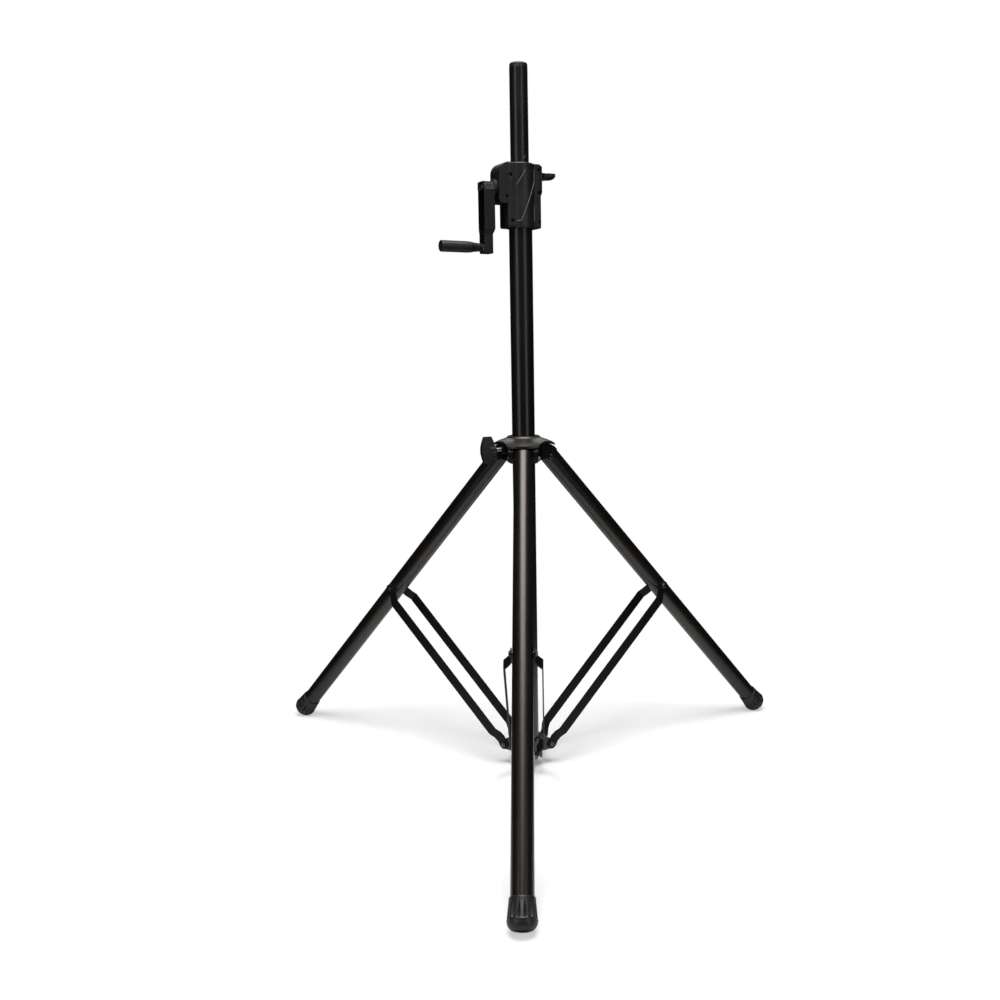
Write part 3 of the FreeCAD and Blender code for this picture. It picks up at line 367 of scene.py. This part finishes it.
def stud(name, node, start, end, z, sign, body):
    """Threaded rod at height z, from start to end along u or, with sign -1, against it."""
    length = end - start
    rows = [(0.0, 0.0), (0.0, 3.0), (POINT_LENGTH, 3.9)]
    steps = int((length - 1.0) / 0.2)
    for k in range(steps + 1):
        rows.append((POINT_LENGTH + (length - POINT_LENGTH) * k / steps, THREAD_R))
    rows.append((length, 0.0))
    base = U * (sign * start * MM) + Vector((0, 0, z * MM))
    piece = turned_piece(name, rows, base, U * sign, 40, BRIGHT, body, cut=thread_cut)
    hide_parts(node)


stud("hub_lock_thread", "hub_knob_stud", start=25.8, end=77.0, z=662.5, sign=1, body="hub_lock")
stud("mast_lock_thread", "mast_lock_stud", start=20.6, end=53.0, z=1183.5, sign=-1, body="mast_lock")

# raised lines moulded on the front of the gearbox, lying in its shallow grooves; their light grey colour is a
# painted highlight of the groove edges
BULGE = 27.9  # radius at which the lines lie, from the mast axis
LINE_STEPS = 12
LINE_BEAD = 0.5
LINES = (
    ((-19.0, 1192.0), (-19.0, 1170.0), (12.0, 1096.5), (18.5, 1096.5)),
    ((3.4, 1189.0), (18.5, 1162.5)),
    ((-19.0, 1127.0), (-19.0, 1096.5)),
)


def bead(name, path, depth, body):
    """Thin round bead along points given in metres, in light grey plastic that paints the highlight of a
    moulded edge.
    """
    curve = bpy.data.curves.new(name, "CURVE")
    curve.dimensions = "3D"
    curve.bevel_depth = depth * MM
    curve.bevel_resolution = 3
    curve.use_fill_caps = True
    spline = curve.splines.new("POLY")
    spline.points.add(len(path) - 1)
    for point, place in zip(spline.points, path):
        point.co = (*place, 1.0)
    curve.materials.append(HIGHLIGHT_PAINTED_PLASTIC)
    obj = bpy.data.objects.new(name, curve)
    bpy.context.scene.collection.objects.link(obj)
    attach(obj, body)


def on_bulge(corners):
    """Points along a line drawn on the round front of the gearbox."""
    path = []
    for start, end in zip(corners, corners[1:]):
        for k in range(LINE_STEPS + 1):
            share = k / LINE_STEPS
            u, z = start[0] + (end[0] - start[0]) * share, start[1] + (end[1] - start[1]) * share
            place = (U * u + V * math.sqrt(BULGE ** 2 - u ** 2) + Vector((0, 0, z))) * MM
            if not path or (place - path[-1]).length > 1e-5:
                path.append(place)
    return path


for number, corners in enumerate(LINES):
    bead("gearbox_line_%d" % (number + 1), on_bulge(corners), LINE_BEAD, "stand")

# raised rim and ribs on both sides of the crank arm's head; their light grey colour is a painted highlight on
# the head's ribbing
HEAD_SIDE = 13.3
HEAD_RIM = ((65.4, 1161.2), (82.4, 1161.2), (80.0, 1152.4), (63.0, 1152.4), (65.4, 1161.2))
HEAD_RIBS = (67.6, 70.9, 74.2, 77.5)
RIM_BEAD, RIB_BEAD = 0.45, 0.3
RIB_ENDS = ((1.1, 1161.0), (-1.1, 1152.6))  # lean away from the rib's middle, and height

for side_name, side_sign in (("right", 1), ("left", -1)):
    flat = V * (side_sign * HEAD_SIDE * MM)
    rim = [(U * u + Vector((0, 0, z))) * MM + flat for u, z in HEAD_RIM]
    bead("head_rim_" + side_name, rim, RIM_BEAD, "crank")
    for number, u in enumerate(HEAD_RIBS):
        rib = [(U * (u + lean) + Vector((0, 0, z))) * MM + flat for lean, z in RIB_ENDS]
        bead("head_rib_%s_%d" % (side_name, number + 1), rib, RIB_BEAD, "crank")

# ---- studio -----------------------------------------------------------------------------------


SWEEP_SOLID_R = 0.42
SWEEP_CLEAR_R = 0.85
SWEEP_GLOW = 0.10
FLOOR_R = 2.4
FLOOR_GAP = 0.0003  # below the feet, so that no faces lie in one plane
FILL_STRENGTH = 0.018


def floor_material():
    """White sweep that is lit near the stand and fades into the white surround."""
    s = Shader("sweep")
    coords = s.node("ShaderNodeTexCoord").outputs["Object"]
    length = s.node("ShaderNodeVectorMath", {"operation": "LENGTH"})
    s.tree.links.new(coords, length.inputs[0])
    away = s.remap(length.outputs["Value"], SWEEP_SOLID_R, SWEEP_CLEAR_R, 0.0, 1.0)
    s.surface.inputs["Roughness"].default_value = 0.8
    s.surface.inputs["Specular IOR Level"].default_value = 0.1
    mottled = s.mix(s.noise(3.0), (0.93, 0.93, 0.93, 1), (0.95, 0.95, 0.95, 1))
    s.tree.links.new(mottled, s.surface.inputs["Base Color"])
    s.surface.inputs["Emission Color"].default_value = (1.0, 0.995, 0.99, 1.0)
    s.surface.inputs["Emission Strength"].default_value = SWEEP_GLOW
    clear = s.node("ShaderNodeBsdfTransparent")
    blend = s.node("ShaderNodeMixShader")
    s.tree.links.new(away, blend.inputs[0])
    s.tree.links.new(s.surface.outputs[0], blend.inputs[1])
    s.tree.links.new(clear.outputs[0], blend.inputs[2])
    output = s.tree.nodes["Material Output"]
    s.tree.links.new(blend.outputs[0], output.inputs["Surface"])
    return s.material


def build_floor():
    bm = bmesh.new()
    bmesh.ops.create_circle(bm, cap_ends=True, radius=FLOOR_R, segments=96)
    mesh = bpy.data.meshes.new("floor")
    bm.to_mesh(mesh)
    bm.free()
    floor = bpy.data.objects.new("floor", mesh)
    bpy.context.scene.collection.objects.link(floor)
    floor.location.z = -FLOOR_GAP
    mesh.materials.append(floor_material())


build_floor()

world = bpy.data.worlds.new("studio")
bpy.context.scene.world = world
world.use_nodes = True
world_nodes, world_links = world.node_tree.nodes, world.node_tree.links
seen = world_nodes["Background"]
seen.inputs["Color"].default_value = (1, 1, 1, 1)
seen.inputs["Strength"].default_value = 1.0
fill = world_nodes.new("ShaderNodeBackground")
fill.inputs["Color"].default_value = (1.0, 1.0, 1.0, 1)
fill.inputs["Strength"].default_value = FILL_STRENGTH
path = world_nodes.new("ShaderNodeLightPath")
choose = world_nodes.new("ShaderNodeMixShader")
world_links.new(path.outputs["Is Camera Ray"], choose.inputs[0])
world_links.new(fill.outputs[0], choose.inputs[1])
world_links.new(seen.outputs[0], choose.inputs[2])
world_links.new(choose.outputs[0], world_nodes["World Output"].inputs["Surface"])


def softbox(name, place, aim, width, height, watts):
    light = bpy.data.lights.new(name, "AREA")
    light.shape = "RECTANGLE"
    light.size = width
    light.size_y = height
    light.energy = watts
    obj = bpy.data.objects.new(name, light)
    bpy.context.scene.collection.objects.link(obj)
    obj.location = place
    obj.rotation_euler = (Vector(aim) - Vector(place)).to_track_quat("-Z", "Y").to_euler()
    obj.visible_camera = False


softbox("left_softbox", (-2.0, -2.3, 1.1), aim=(0, 0, 0.8), width=0.55, height=2.8, watts=17)
softbox("right_softbox", (2.0, -2.3, 1.1), aim=(0, 0, 0.8), width=0.5, height=2.8, watts=13)
softbox("top_softbox", (0.0, -0.75, 3.4), aim=(0, -0.75, 0), width=2.3, height=1.7, watts=135)
softbox("front_top_softbox", (0.0, -2.3, 3.3), aim=(0, -0.5, 0), width=1.3, height=1.4, watts=12)
softbox("back_softbox", (0.2, 2.6, 2.4), aim=(0, 0, 0.6), width=2.4, height=1.0, watts=16)

# ---- camera -----------------------------------------------------------------------------------

CAMERA_PLACE = (0.038726, -2.001564, 0.861851)
LENS = 36.41  # on a 36 mm sensor
PITCH = 0.1592  # down
YAW = -0.0017
ROLL = -0.0108
SHIFT = (-0.04557, 0.00825)

forward = Vector((-math.sin(YAW), math.cos(YAW), 0))
right = Vector((math.cos(YAW), math.sin(YAW), 0))
up = Vector((0, 0, 1))
look = forward * math.cos(PITCH) - up * math.sin(PITCH)
top = up * math.cos(PITCH) + forward * math.sin(PITCH)
side = right * math.cos(ROLL) + top * math.sin(ROLL)
top = top * math.cos(ROLL) - right * math.sin(ROLL)
camera_data = bpy.data.cameras.new("camera")
camera_data.sensor_width = 36.0
camera_data.lens = LENS
camera_data.shift_x, camera_data.shift_y = SHIFT
camera_data.clip_start, camera_data.clip_end = 0.05, 50.0
camera = bpy.data.objects.new("camera", camera_data)
bpy.context.scene.collection.objects.link(camera)
camera.matrix_world = Matrix.Translation(CAMERA_PLACE) @ Matrix((side, top, -look)).transposed().to_4x4()
bpy.context.scene.camera = camera
bpy.context.scene.view_settings.view_transform = "Standard"
